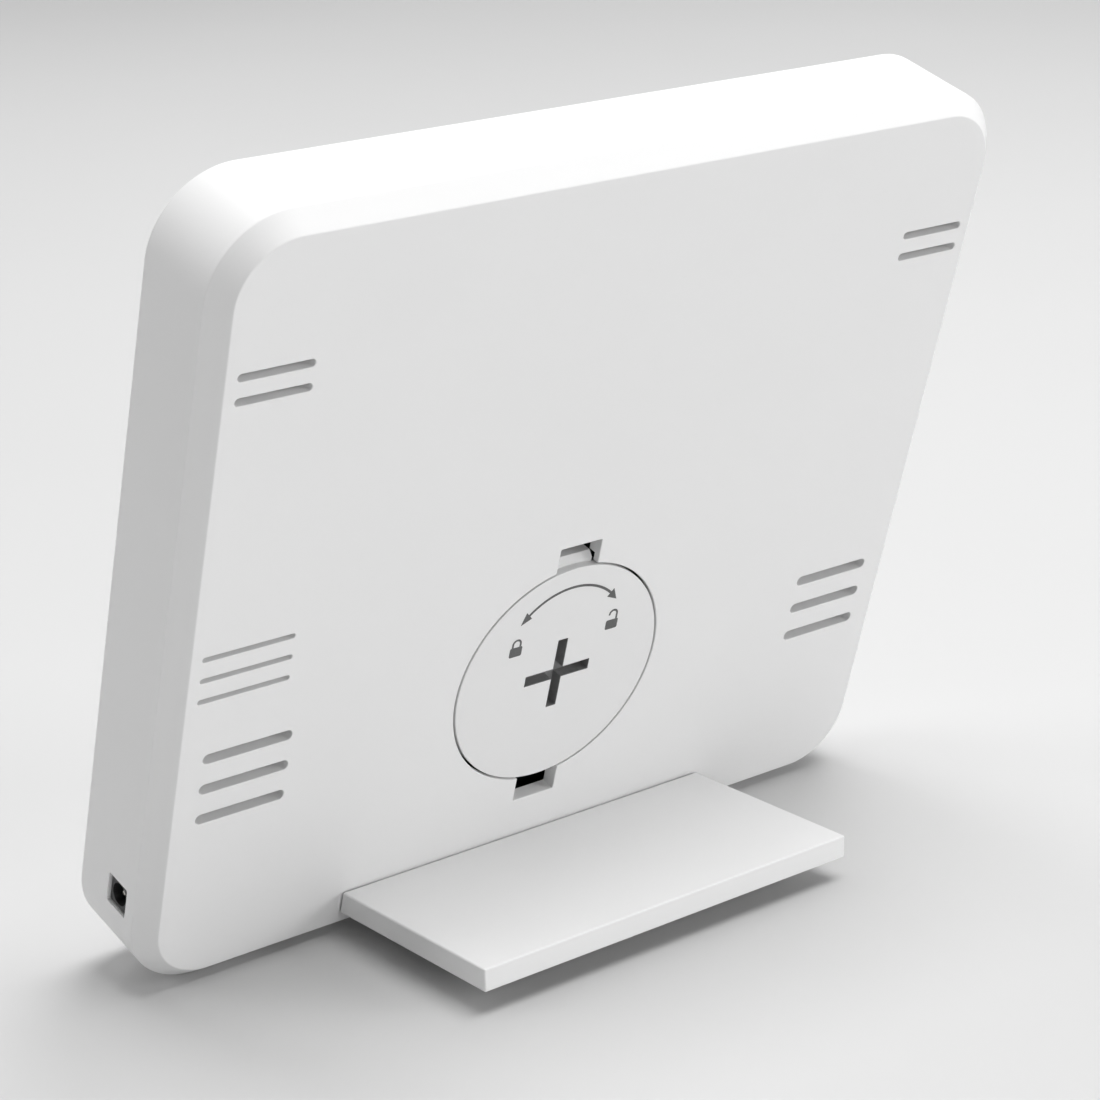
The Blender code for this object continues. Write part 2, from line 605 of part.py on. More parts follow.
def speaker(case, side, end):
    """A small flat speaker behind its slots: a tray, and a cone that fills the tray's mouth."""
    middle = (side * SPEAKER_X, SPEAKER_MIDDLE)
    black = finish("speaker_tray", (0.03, 0.03, 0.03), 0.5)
    outside = rounded(18 * MM, 14 * MM, 3 * MM, middle, steps=5)
    inside = rounded(16.4 * MM, 12.4 * MM, 2.2 * MM, middle, steps=5)
    floor = SPEAKER_FRONT + 0.8 * MM
    rings = [along_y(outside, SPEAKER_FRONT), along_y(outside, SPEAKER_BACK)]
    rings += [along_y(inside, SPEAKER_BACK), along_y(inside, floor)]
    loft(f"speaker_frame_{end}", rings, case, black)
    paper = finish("speaker_paper", (0.04, 0.04, 0.045), 0.7)
    rim = rounded(15.8 * MM, 11.8 * MM, 1.9 * MM, middle, steps=5)
    dish = rounded(9 * MM, 5.4 * MM, 1.2 * MM, middle, steps=5)
    high, low = SPEAKER_BACK - 0.4 * MM, SPEAKER_BACK - 0.7 * MM
    fall = 0.5 * MM
    rings = [along_y(dish, low - fall), along_y(rim, low), along_y(rim, high), along_y(dish, high - fall)]
    loft(f"speaker_cone_{end}", rings, case, paper)


def speaker_lead(case, side, end):
    """Twin wire from the side of the board's socket to the speaker's tray."""
    vinyl = finish("lead_vinyl", (0.25, 0.02, 0.02), 0.5)
    start = (SOCKET_X + 1.7 * MM + GAP, PARTS_FRONT + 1.2 * MM, SOCKET_MIDDLE)
    stop = (SPEAKER_X - 9 * MM - GAP, 12.6 * MM, 34 * MM)
    curve = bpy.data.curves.new(f"speaker_lead_{end}", "CURVE")
    curve.dimensions = "3D"
    curve.bevel_depth = 0.45 * MM
    curve.bevel_resolution = 2
    curve.use_fill_caps = True
    steps = 8
    spline = curve.splines.new("POLY")
    spline.points.add(steps)
    for step in range(steps + 1):
        share = step / steps
        ease = (1 - math.cos(math.pi * share)) / 2
        x = start[0] + (stop[0] - start[0]) * share
        y = start[1] + (stop[1] - start[1]) * ease
        z = start[2] + (stop[2] - start[2]) * ease
        spline.points[step].co = (side * x, y, z, 1)
    curve.materials.append(vinyl)
    lead = bpy.data.objects.new(f"speaker_lead_{end}", curve)
    bpy.context.scene.collection.objects.link(lead)
    lead.parent = case


def screw_circles(place):
    return [circle(radius, place, SMALL_STEPS) for radius in (HEAD_RADIUS, SHANK_RADIUS, TIP_RADIUS)]


def board_screws(case):
    zinc = finish("zinc_screw", (0.6, 0.6, 0.62), 0.3, metallic=1.0)
    for number, place in enumerate(POST_PLACES, start=1):
        head, shank, tip = screw_circles(place)
        under_head = BOARD_FRONT - GAP
        rings = [along_y(head, under_head - 0.6 * MM), along_y(head, under_head)]
        rings += [along_y(shank, under_head), along_y(shank, 13.2 * MM), along_y(tip, 13.8 * MM)]
        loft(f"board_screw_{number}", rings, case, zinc)


def stand_foot(table):
    """The plate behind the case, with a tongue that goes through the rear wall."""
    white = finish("foot_abs", (0.80, 0.80, 0.80), 0.4)
    spare = GAP / math.cos(LEAN)
    side = [(FOOT_END, FOOT_UNDERSIDE), (FOOT_END, FOOT_TOP)]
    side += [(panel_y(z) + spare, z) for z in (FOOT_TOP, FOOT_UNDERSIDE)]
    half = FOOT_WIDTH / 2
    foot = loft("stand_foot", [along_x(side, -half), along_x(side, half)], table, white)
    low, high = FOOT_UNDERSIDE + TONGUE_SETBACK, FOOT_TOP - TONGUE_SETBACK
    tongue_side = [(TONGUE_END, low), (TONGUE_ROOT, low), (TONGUE_ROOT, high), (TONGUE_END, high)]
    half = TONGUE_WIDTH / 2
    join(foot, loft("foot_tongue", [along_x(tongue_side, -half), along_x(tongue_side, half)], table))
    places = [(end * FOOT_SCREW_X, FOOT_SCREW_Y) for end in (-1, 1)]
    cut(foot, upright_round("tongue_holes", 1.2 * MM, low - MM, high + MM, places, table))
    places = [(end * PAD_X, PAD_Y) for end in (-1, 1)]
    hole, depth = STEM_RADIUS + GAP, 2 * MM
    cut(foot, upright_round("pad_holes", hole, FOOT_UNDERSIDE - MM, FOOT_UNDERSIDE + depth, places, table))


def foot_hardware(table, side, end):
    """A rubber pad whose stem plugs into the foot, and a screw that holds the tongue inside the case."""
    rubber = finish("pad_rubber", (0.05, 0.05, 0.05), 0.85)
    place = (side * PAD_X, PAD_Y)
    edge, face, stem = (circle(r, place, 28) for r in (PAD_RADIUS - 0.4 * MM, PAD_RADIUS, STEM_RADIUS))
    top = FOOT_UNDERSIDE - GAP
    rings = [along_z(edge, 0), along_z(face, 0.4 * MM), along_z(face, top)]
    rings += [along_z(stem, top), along_z(stem, FOOT_UNDERSIDE + 1.7 * MM)]
    loft(f"foot_pad_{end}", rings, table, rubber)
    zinc = finish("zinc_screw", (0.6, 0.6, 0.62), 0.3, metallic=1.0)
    head, shank, tip = screw_circles((side * FOOT_SCREW_X, FOOT_SCREW_Y))
    under_head = FOOT_TOP - TONGUE_SETBACK + GAP
    rings = [along_z(tip, 2.2 * MM), along_z(shank, 2.8 * MM), along_z(shank, under_head)]
    rings += [along_z(head, under_head), along_z(head, under_head + 0.9 * MM)]
    loft(f"foot_screw_{end}", rings, table, zinc)


clear_scene()
case = frame_empty("case_frame", (0, -FRONT_REACH - MIDDLE_Y, RESTING_DEPTH * math.sin(LEAN)), -LEAN)
table = frame_empty("table_frame", (0, -MIDDLE_Y, 0))
rear_housing(case, table)
front_bezel(case)
screen_window(case)
screen_module(case)
display_flex(case)
main_board(case)
board_parts(case)
power_jack(case)
battery_holder(case)
battery_cover(case)
board_screws(case)
stand_foot(table)
for side, end in ((1, "right"), (-1, "left")):
    speaker(case, side, end)
    speaker_lead(case, side, end)
    foot_hardware(table, side, end)
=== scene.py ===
"""Digital photo frame: the looks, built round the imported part, in the part's own frame and in metres."""
import json
import math

import bmesh
import bpy
from mathutils import Matrix, Vector


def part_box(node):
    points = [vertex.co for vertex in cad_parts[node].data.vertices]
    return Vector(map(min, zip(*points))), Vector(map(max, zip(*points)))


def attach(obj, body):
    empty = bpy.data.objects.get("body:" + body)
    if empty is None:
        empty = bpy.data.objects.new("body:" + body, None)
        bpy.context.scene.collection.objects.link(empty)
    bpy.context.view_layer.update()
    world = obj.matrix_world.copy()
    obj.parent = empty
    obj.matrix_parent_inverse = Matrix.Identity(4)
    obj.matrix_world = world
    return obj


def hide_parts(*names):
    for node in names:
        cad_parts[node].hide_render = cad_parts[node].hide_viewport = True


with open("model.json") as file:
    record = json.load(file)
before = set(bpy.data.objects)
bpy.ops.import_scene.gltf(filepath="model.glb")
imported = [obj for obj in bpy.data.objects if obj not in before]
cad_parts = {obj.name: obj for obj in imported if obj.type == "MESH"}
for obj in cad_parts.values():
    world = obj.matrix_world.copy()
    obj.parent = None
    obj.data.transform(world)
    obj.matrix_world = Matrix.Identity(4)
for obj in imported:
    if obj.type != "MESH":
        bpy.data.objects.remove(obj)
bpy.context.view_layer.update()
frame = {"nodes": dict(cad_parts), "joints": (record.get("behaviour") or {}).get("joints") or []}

MM = 0.001


# ---------------------------------------------------------------- Camera
# A long lens that stands behind the frame, a little above it and round towards the side with the power
# inlet. It is turned by a degree and a half about its own axis.

AIM = Vector((-10.4, -13.3, 49.5)) * MM
CAMERA_DISTANCE = 464.3 * MM
CAMERA_AZIMUTH = math.radians(141.85)
CAMERA_ELEVATION = math.radians(18.07)
CAMERA_ROLL = math.radians(-1.62)
FOCAL_LENGTH = 98.13  # in millimetres, as Blender's cameras count it
NEAREST_SEEN = 0.02

scene = bpy.context.scene
camera = bpy.data.objects.new("camera", bpy.data.cameras.new("camera"))
scene.collection.objects.link(camera)
scene.camera = camera
camera.data.lens = FOCAL_LENGTH
camera.data.clip_start = NEAREST_SEEN
level_out = Vector((math.sin(CAMERA_AZIMUTH), -math.cos(CAMERA_AZIMUTH), 0))
backwards = level_out * math.cos(CAMERA_ELEVATION) + Vector((0, 0, math.sin(CAMERA_ELEVATION)))
camera.location = AIM + backwards * CAMERA_DISTANCE
look = (-backwards).to_track_quat("-Z", "Y").to_matrix() @ Matrix.Rotation(CAMERA_ROLL, 3, "Z")
camera.rotation_euler = look.to_euler()


# ---------------------------------------------------------------- Table and studio light
# A plain pale table top, wide enough to fill every view, with a little unevenness in its paint. Six round
# soft lamps light it: one overhead, two behind the frame and three before it. They don't show. The room
# looks pale, but lights the table only dimly.

def add_node(material, kind, inputs=None, **settings):
    """A shader node with its settings and sockets filled in. A socket may be given another node's output."""
    tree = material.node_tree
    node = tree.nodes.new("ShaderNode" + kind)
    for setting, value in settings.items():
        setattr(node, setting, value)
    for socket, value in (inputs or {}).items():
        if isinstance(value, bpy.types.NodeSocket):
            tree.links.new(value, node.inputs[socket])
        else:
            node.inputs[socket].default_value = value
    return node


def new_material(name, **sockets):
    """A Principled material with these sockets set, and its shader node."""
    material = bpy.data.materials.new(name)
    material.use_nodes = True
    shader = material.node_tree.nodes["Principled BSDF"]
    for socket, value in sockets.items():
        shader.inputs[socket.replace("_", " ")].default_value = value
    return material, shader


def noise(material, feature, detail=2.0, place=None):
    """Cloudy noise whose features are about this many metres across."""
    where = place or add_node(material, "TexCoord").outputs["Object"]
    cloud = add_node(material, "TexNoise", {"Vector": where, "Scale": 1 / feature, "Detail": detail})
    return cloud.outputs["Fac"]


def between(material, factor, low, high):
    """Stretches a factor of 0 to 1 to the range from low to high."""
    spread = add_node(material, "MapRange", {"Value": factor, "To Min": low, "To Max": high})
    return spread.outputs["Result"]


def blend_colours(material, factor, first, second):
    """The first colour where the factor is 0 and the second where it is 1."""
    node = add_node(material, "Mix", data_type="RGBA")
    tree = material.node_tree
    for index, value in ((0, factor), (6, first), (7, second)):
        if isinstance(value, bpy.types.NodeSocket):
            tree.links.new(value, node.inputs[index])
        else:
            node.inputs[index].default_value = value if index == 0 else (*value, 1)
    return node.outputs[2]


def connect(material, output, shader, socket):
    material.node_tree.links.new(output, shader.inputs[socket])


TABLE_HALF = 4.0

table_paint, shader = new_material("table_paint", Roughness=0.6)
shader.inputs["Specular IOR Level"].default_value = 0.25
shade = blend_colours(table_paint, noise(table_paint, 0.25), (0.58, 0.58, 0.58), (0.61, 0.61, 0.61))
connect(table_paint, shade, shader, "Base Color")

body = bmesh.new()
bmesh.ops.create_grid(body, x_segments=8, y_segments=8, size=TABLE_HALF)
table_mesh = bpy.data.meshes.new("table_top")
body.to_mesh(table_mesh)
body.free()
table_top = bpy.data.objects.new("table_top", table_mesh)
scene.collection.objects.link(table_top)
table_mesh.materials.append(table_paint)


def soft_box(name, place, aim, size, power):
    """A round lamp of this many metres and watts, which the camera doesn't see."""
    light = bpy.data.lights.new(name, "AREA")
    light.shape = "DISK"
    light.size = size
    light.energy = power
    box = bpy.data.objects.new(name, light)
    scene.collection.objects.link(box)
    box.location = place
    box.rotation_euler = (Vector(aim) - Vector(place)).to_track_quat("-Z", "Y").to_euler()
    box.visible_camera = False


soft_box("light_overhead", (-0.25, 0.10, 1.3), (0, 0, 0), 1.1, 19.2)
soft_box("light_rear_left", (-2.2, 2.2, 0.9), (0, 0, 0.05), 1.4, 33.5)
soft_box("light_rear_low", (0.3, 2.4, 0.3), (0, 0, 0.05), 1.0, 16.6)
soft_box("light_front_right", (1.0, -0.8, 0.7), (0, 0, 0), 0.9, 6.3)
soft_box("light_front_left", (-1.0, -0.8, 0.8), (0, 0, 0), 0.9, 3)
soft_box("light_front", (0.0, -1.2, 1.0), (0, 0, 0), 0.8, 4.5)

ROOM_LIGHT = 0.07
ROOM_SEEN = 0.62

room = bpy.data.worlds.new("room")
room.use_nodes = True
air = room.node_tree.nodes["Background"]
air.inputs["Color"].default_value = (1, 1, 1, 1)
air.inputs["Strength"].default_value = ROOM_LIGHT
wall = add_node(room, "Background", {"Color": (1, 1, 1, 1), "Strength": ROOM_SEEN})
seen = add_node(room, "LightPath").outputs["Is Camera Ray"]
either = add_node(room, "MixShader", {0: seen, 1: air.outputs[0], 2: wall.outputs[0]})
room.node_tree.links.new(either.outputs[0], room.node_tree.nodes["World Output"].inputs["Surface"])
scene.world = room
scene.view_settings.view_transform = "Standard"


# ---------------------------------------------------------------- Rear housing
# The white ABS tray that makes the case: four walls and a bevelled edge round the flat rear face, moulded
# in one piece with a fine matt texture. The slots, the cover's opening and the inlet are moulded through
# it. Its inner posts, bosses and hook pockets are in the CAD solid only.

CASE_WIDTH = 140 * MM
CASE_HEIGHT = 124.6 * MM
CASE_DEPTH = 17 * MM
CASE_CORNER = 12.3 * MM
REAR_CHAMFER = 2.8 * MM
WALL = 2.4 * MM
RIM = 0.15 * MM  # edge radius round everything cut through the rear face
COVER_MIDDLE = 38.3 * MM
COVER_OPENING = 19.2 * MM
CHANNEL_RADIUS = 20.4 * MM
NOTCH_REACH = 23 * MM
NOTCH_WIDTH = 7.8 * MM
NOTCH_OVERLAP = 2 * MM  # of each notch's cutter with the opening
NOTCH_CORNER = 0.2 * MM
LIP = 1.1 * MM

turn = next(joint for joint in frame["joints"] if joint["name"] == "cover_turn")
outwards = Vector(turn["axis"]).normalized()
upwards = Vector((0, -outwards.z, outwards.y))
hub = Vector(turn["pos_m"])
case_origin = hub - outwards * CASE_DEPTH - upwards * COVER_MIDDLE
case_axes = Matrix((Vector((1, 0, 0)), outwards, upwards)).transposed().to_4x4()
# x across, y from the front edge back, z up the case
case_frame = Matrix.Translation(case_origin) @ case_axes


def rounded(width, height, radius, middle=(0, 0), steps=24):
    """(x, z) points of a rounded rectangle."""
    points = []
    corners = ((1, 1), (-1, 1), (-1, -1), (1, -1))
    for quarter, (side, end) in enumerate(corners):
        x = middle[0] + side * (width / 2 - radius)
        z = middle[1] + end * (height / 2 - radius)
        for step in range(steps + 1):
            angle = (quarter + step / steps) * math.pi / 2
            points.append((x + radius * math.cos(angle), z + radius * math.sin(angle)))
    return points


def circle(radius, middle=(0, 0), steps=128):
    turns = [2 * math.pi * step / steps for step in range(steps)]
    return [(middle[0] + radius * math.cos(a), middle[1] + radius * math.sin(a)) for a in turns]


def skin(rings, closed=False):
    """A mesh through rings of (x, y, z) points: capped at both ends, or closed on itself."""
    body = bmesh.new()
    rows = [[body.verts.new(point) for point in ring] for ring in rings]
    pairs = list(zip(rows, rows[1:]))
    if closed:
        pairs.append((rows[-1], rows[0]))
    else:
        body.faces.new(rows[0])
        body.faces.new(rows[-1])
    for lower, upper in pairs:
        for i in range(len(lower)):
            j = (i + 1) % len(lower)
            body.faces.new((lower[i], lower[j], upper[j], upper[i]))
    bmesh.ops.recalc_face_normals(body, faces=body.faces)
    return body


def solid(name, body, place=case_frame):
    """An object in the row frame from a mesh that was made in its own frame."""
    mesh = bpy.data.meshes.new(name)
    body.to_mesh(mesh)
    body.free()
    mesh.transform(place)
    made = bpy.data.objects.new(name, mesh)
    scene.collection.objects.link(made)
    return made


def at_depth(outline, depth):
    return [(x, depth, z) for x, z in outline]


def across(outline, x):
    return [(x, y, z) for y, z in outline]


def shaped(target, others, operation="DIFFERENCE"):
    """Cuts the others from the target, or joins them to it, and removes them."""
    for other in others:
        change = target.modifiers.new("shape", "BOOLEAN")
        change.operation = operation
        change.object = other
        bpy.context.view_layer.update()
        evaluated = target.evaluated_get(bpy.context.evaluated_depsgraph_get())
        result = bpy.data.meshes.new_from_object(evaluated)
        target.modifiers.remove(change)
        target.data = result
        bpy.data.objects.remove(other)
    return target


FLAT_ENOUGH = 0.99999
SHARP_EDGE = math.radians(28)
sideways = Vector((1, 0, 0))
chamfer_ways = [(outwards + way).normalized() for way in (sideways, -sideways, upwards, -upwards)]
flat_ways = [sideways, outwards, upwards, *chamfer_ways]


def finished(piece, material, body_name, *nodes):
    """Smooth shading with true flats, the material, the body it rides and the nodes it stands for."""
    piece.data.materials.clear()
    piece.data.materials.append(material)
    piece.data.shade_smooth()
    for face in piece.data.polygons:
        face.use_smooth = all(abs(face.normal.dot(way)) < FLAT_ENOUGH for way in flat_ways)
    piece.data.set_sharp_from_angle(angle=SHARP_EDGE)
    flats = piece.modifiers.new("true_flats", "WEIGHTED_NORMAL")
    flats.keep_sharp = True
    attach(piece, body_name)
    if nodes:
        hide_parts(*nodes)


def case_ring(inset, depth):
    middle = (0, CASE_HEIGHT / 2)
    outline = rounded(CASE_WIDTH - 2 * inset, CASE_HEIGHT - 2 * inset, CASE_CORNER - inset, middle)
    return at_depth(outline, depth)


def eased(profile, radius, steps=3):
    """A profile of (inset, depth) points with each inner corner rounded."""
    points = [profile[0]]
    for before, corner, after in zip(profile, profile[1:], profile[2:]):
        a, c, b = Vector(before), Vector(corner), Vector(after)
        start, stop = (a - c).normalized(), (b - c).normalized()
        half = start.angle(stop) / 2
        run = min(radius / math.tan(half), 0.45 * (a - c).length, 0.45 * (b - c).length)
        first, last = c + start * run, c + stop * run
        for step in range(steps + 1):
            share = step / steps
            way_in, way_out = first.lerp(c, share), c.lerp(last, share)
            points.append(tuple(way_in.lerp(way_out, share)))
    points.append(profile[-1])
    return points


def flared(outline_at, outside, inside, place=at_depth):
    """A cutter whose mouth flares at the outer face. outline_at gives the outline, grown by a distance."""
    rings = [place(outline_at(RIM), outside + MM)]
    for step in range(5):
        angle = math.radians(22.5 * step)
        grown, depth = RIM * (1 - math.sin(angle)), outside - RIM * (1 - math.cos(angle))
        rings.append(place(outline_at(grown), depth))
    rings.append(place(outline_at(0), inside))
    return skin(rings)


SEAT = 1.1 * MM
SEAT_DEPTH = 2.2 * MM
REAR_BORDER = 2 * MM  # of the flat rear face, outside its one large polygon
resting_depth = CASE_DEPTH - REAR_CHAMFER
outside_profile = [(SEAT, SEAT_DEPTH), (SEAT, 0), (0, 0), (0, resting_depth), (REAR_CHAMFER, CASE_DEPTH)]
outside_profile.append((REAR_CHAMFER + REAR_BORDER, CASE_DEPTH))
profile = [(WALL, CASE_DEPTH - WALL), (WALL, SEAT_DEPTH), *eased(outside_profile, 0.45 * MM)]
housing = solid("housing_shell", skin([case_ring(inset, depth) for inset, depth in profile]))


def round_ended(length, width, middle, steps=10):
    """(x, z) points of a slot with half-round ends."""
    points = []
    for end in (1, -1):
        for step in range(steps + 1):
            angle = math.pi * (step / steps - 0.5)
            x = end * ((length - width) / 2 + width / 2 * math.cos(angle))
            points.append((middle[0] + x, middle[1] + end * width / 2 * math.sin(angle)))
    return points


inner_face = CASE_DEPTH - WALL
through = inner_face - MM
cutters = []
# each group of slots, in mm: its middle across and up the case, a slot's length and width, number and pitch
for x, height, length, width, count, pitch in (
    (59.35, 101, 12, 1.2, 2, 3.6),
    (-59.35, 101, 12, 1.2, 2, 3.6),
    (55.9, 36.6, 14.8, 1.7, 3, 5.25),
    (-55.9, 36.6, 14.8, 1.7, 3, 5.25),
    (57.9, 55.7, 15, 0.8, 3, 3.5),
):
    for i in range(count):
        middle = (x * MM, (height + pitch * (i - (count - 1) / 2)) * MM)

        def slot_at(grown, middle=middle, length=length, width=width):
            return round_ended(length * MM + 2 * grown, width * MM + 2 * grown, middle)

        cutters.append(solid("slot_cutter", flared(slot_at, CASE_DEPTH, through)))

hub_place = (0, COVER_MIDDLE)


def opening_at(grown):
    return circle(COVER_OPENING + grown, hub_place, 192)


cutters.append(solid("opening_cutter", flared(opening_at, CASE_DEPTH, through)))
channel = circle(CHANNEL_RADIUS, hub_place, 96)
channel_ends = [at_depth(channel, depth) for depth in (through, CASE_DEPTH - LIP)]
cutters.append(solid("channel_cutter", skin(channel_ends)))
for end in (-1, 1):
    middle = (0, COVER_MIDDLE + end * (COVER_OPENING + NOTCH_REACH) / 2 - end * NOTCH_OVERLAP)
    reach = NOTCH_REACH - COVER_OPENING + 2 * NOTCH_OVERLAP

    def notch_at(grown, middle=middle, reach=reach):
        return rounded(NOTCH_WIDTH + 2 * grown, reach + 2 * grown, NOTCH_CORNER + grown, middle, steps=3)

    cutters.append(solid("notch_cutter", flared(notch_at, CASE_DEPTH, through)))

INLET_WIDTH = 4.8 * MM
INLET_HEIGHT = 5 * MM
INLET_CORNER = 0.3 * MM
INLET_MIDDLE = (9.6 * MM, 15.1 * MM)  # back from the front edge, and up the case


def inlet_at(grown):
    width, height = INLET_WIDTH + 2 * grown, INLET_HEIGHT + 2 * grown
    return rounded(width, height, INLET_CORNER + grown, INLET_MIDDLE, steps=4)


cutters.append(solid("inlet_cutter", flared(inlet_at, CASE_WIDTH / 2, CASE_WIDTH / 2 - WALL - MM, across)))

TONGUE_WIDTH = 58 * MM
TONGUE_LOW = 4.3 * MM
TONGUE_TOP = 6.7 * MM
SLOT_PLAY = 0.25 * MM  # round the foot's tongue
SLOT_FRONT = -3.9 * MM
SLOT_BACK = 6 * MM
rest_y = (case_frame @ Vector((0, resting_depth, 0))).y
# y back from the edge that the case stands on, z up from the table
table_frame = Matrix.Translation((0, rest_y, 0))


def slab(x_low, x_high, y_low, y_high, z_low, z_high):
    side = [(y_low, z_low), (y_high, z_low), (y_high, z_high), (y_low, z_high)]
    return skin([across(side, x_low), across(side, x_high)])


half = TONGUE_WIDTH / 2 + SLOT_PLAY
foot_slot = slab(-half, half, SLOT_FRONT, SLOT_BACK, TONGUE_LOW - SLOT_PLAY, TONGUE_TOP + SLOT_PLAY)
cutters.append(solid("foot_slot_cutter", foot_slot, table_frame))
shaped(housing, cutters)

fine_abs, shader = new_material("white_abs", Roughness=0.5)
shader.inputs["Specular IOR Level"].default_value = 0.3
tone = blend_colours(fine_abs, noise(fine_abs, 0.03, 3), (0.785, 0.785, 0.785), (0.805, 0.805, 0.805))
connect(fine_abs, tone, shader, "Base Color")
connect(fine_abs, between(fine_abs, noise(fine_abs, 0.006, 4), 0.50, 0.62), shader, "Roughness")
grain = noise(fine_abs, 0.0004, 2)
bump = add_node(fine_abs, "Bump", {"Height": grain, "Strength": 0.25, "Distance": 0.02 * MM})
connect(fine_abs, bump.outputs["Normal"], shader, "Normal")
finished(housing, fine_abs, "case", "rear_housing")


# ---------------------------------------------------------------- Front bezel
# The white ABS face round the screen, moulded a little smoother than the housing. It drops into a seat in
# the housing's front edge, with a skirt behind it. The snap hooks that hold the case shut are in the CAD
# solid only.

SCREEN_WIDTH = 113 * MM
SCREEN_HEIGHT = 84.7 * MM
SCREEN_MIDDLE = 68.6 * MM
BEZEL_GAP = 0.2 * MM
BEZEL_BACK = 1.9 * MM
SKIRT_OUTSIDE = 2.7 * MM
SKIRT_INSIDE = 3.9 * MM
SKIRT_BACK = 6.2 * MM
LEDGE = 1.2 * MM


def screen_ring(margin, depth, radius=1.5 * MM):
    """A ring round the picture area, larger by a margin on each side."""
    outline = rounded(SCREEN_WIDTH + 2 * margin, SCREEN_HEIGHT + 2 * margin, radius, (0, SCREEN_MIDDLE))
    return at_depth(outline, depth)


edge = SEAT + BEZEL_GAP
face = BEZEL_GAP
outer = eased([(edge, BEZEL_BACK), (edge, face), (edge + 3 * MM, face)], 0.35 * MM, steps=4)
rings = [case_ring(inset, depth) for inset, depth in outer]
opening = eased([(4 * MM, face), (MM, face), (MM, LEDGE)], 0.6 * MM, steps=5)
rings += [screen_ring(margin, depth, margin + 0.5 * MM) for margin, depth in opening]
rings += [screen_ring(4.3 * MM, LEDGE), screen_ring(4.3 * MM, BEZEL_BACK)]
for inset, depth in ((SKIRT_INSIDE, BEZEL_BACK), (SKIRT_INSIDE, SKIRT_BACK), (SKIRT_OUTSIDE, SKIRT_BACK)):
    rings.append(case_ring(inset, depth))
rings.append(case_ring(SKIRT_OUTSIDE, BEZEL_BACK))
bezel = solid("bezel_face", skin(rings, closed=True))

satin_abs, shader = new_material("satin_white_abs", Roughness=0.35)
tone = blend_colours(satin_abs, noise(satin_abs, 0.03, 3), (0.80, 0.80, 0.80), (0.82, 0.82, 0.82))
connect(satin_abs, tone, shader, "Base Color")
connect(satin_abs, between(satin_abs, noise(satin_abs, 0.008, 4), 0.30, 0.40), shader, "Roughness")
grain = noise(satin_abs, 0.0003, 2)
bump = add_node(satin_abs, "Bump", {"Height": grain, "Strength": 0.15, "Distance": 0.01 * MM})
connect(satin_abs, bump.outputs["Normal"], shader, "Normal")
finished(bezel, satin_abs, "case", "front_bezel")


# ---------------------------------------------------------------- Screen window
# A clear acrylic sheet in a pocket behind the bezel, with a black border printed on its back. A strip of
# black foam keeps dust out between it and the screen, and the foam ring in the battery cover is of the same
# kind.

WINDOW_FRONT = 1.5 * MM
WINDOW_BACK = 2.5 * MM
SHEET_BORDER = 4 * MM  # of the sheet past the picture, on each side
INK = 0.05 * MM
INK_OUTSIDE = 3.9 * MM
INK_INSIDE = 0.1 * MM

sheet_profile = [(SHEET_BORDER - MM, WINDOW_FRONT), (SHEET_BORDER, WINDOW_FRONT)]
sheet_profile += [(SHEET_BORDER, WINDOW_BACK), (SHEET_BORDER - MM, WINDOW_BACK)]
rings = [screen_ring(margin, depth) for margin, depth in eased(sheet_profile, 0.15 * MM)]
sheet = solid("window_sheet", skin(rings))
clear_sheet = bpy.data.materials.new("clear_acrylic_sheet")
clear_sheet.use_nodes = True
tree = clear_sheet.node_tree
tree.nodes.remove(tree.nodes["Principled BSDF"])
through_sheet = add_node(clear_sheet, "BsdfTransparent", {"Color": (0.97, 0.975, 0.98, 1)})
smudges = between(clear_sheet, noise(clear_sheet, 0.02, 4), 0.02, 0.07)
sheen = add_node(clear_sheet, "BsdfGlossy", {"Roughness": smudges})
fresnel = add_node(clear_sheet, "Fresnel", {"IOR": 1.49})
shares = {0: fresnel.outputs[0], 1: through_sheet.outputs[0], 2: sheen.outputs[0]}
mixed = add_node(clear_sheet, "MixShader", shares)
tree.links.new(mixed.outputs[0], tree.nodes["Material Output"].inputs["Surface"])
finished(sheet, clear_sheet, "case", "screen_window")

border = [screen_ring(INK_OUTSIDE, WINDOW_BACK), screen_ring(INK_OUTSIDE, WINDOW_BACK + INK)]
border += [screen_ring(INK_INSIDE, depth, 0.6 * MM) for depth in (WINDOW_BACK + INK, WINDOW_BACK)]
printed_border = solid("window_border", skin(border, closed=True))
border_ink, shader = new_material("black_border_ink", Roughness=0.4)
tone = blend_colours(border_ink, noise(border_ink, 0.002, 2), (0.010, 0.010, 0.011), (0.016, 0.016, 0.017))
connect(border_ink, tone, shader, "Base Color")
finished(printed_border, border_ink, "case")


PACKED_SHARP_EDGE = math.radians(32)


def dress(material, *nodes):
    """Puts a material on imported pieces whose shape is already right."""
    for name in nodes:
        node = frame["nodes"][name]
        node.data.materials.clear()
        node.data.materials.append(material)
        node.data.shade_smooth()
        node.data.set_sharp_from_angle(angle=PACKED_SHARP_EDGE)


foam, shader = new_material("black_foam", Roughness=0.95)
where = add_node(foam, "TexCoord").outputs["Object"]
pores = add_node(foam, "TexVoronoi", {"Vector": where, "Scale": 1800}).outputs["Distance"]
tone = blend_colours(foam, pores, (0.012, 0.012, 0.012), (0.045, 0.045, 0.045))
connect(foam, tone, shader, "Base Color")
bump = add_node(foam, "Bump", {"Height": pores, "Strength": 0.8, "Distance": 0.15 * MM})
connect(foam, bump.outputs["Normal"], shader, "Normal")
dress(foam, "window_gasket", "cell_pad")


# ---------------------------------------------------------------- Screen
# The display: a pressed steel frame and back plate round a glass panel, a diffuser and an acrylic light
# guide. A strip of lamps along the guide's lower edge lights it. The picture is a made-up view of hills at
# dusk.

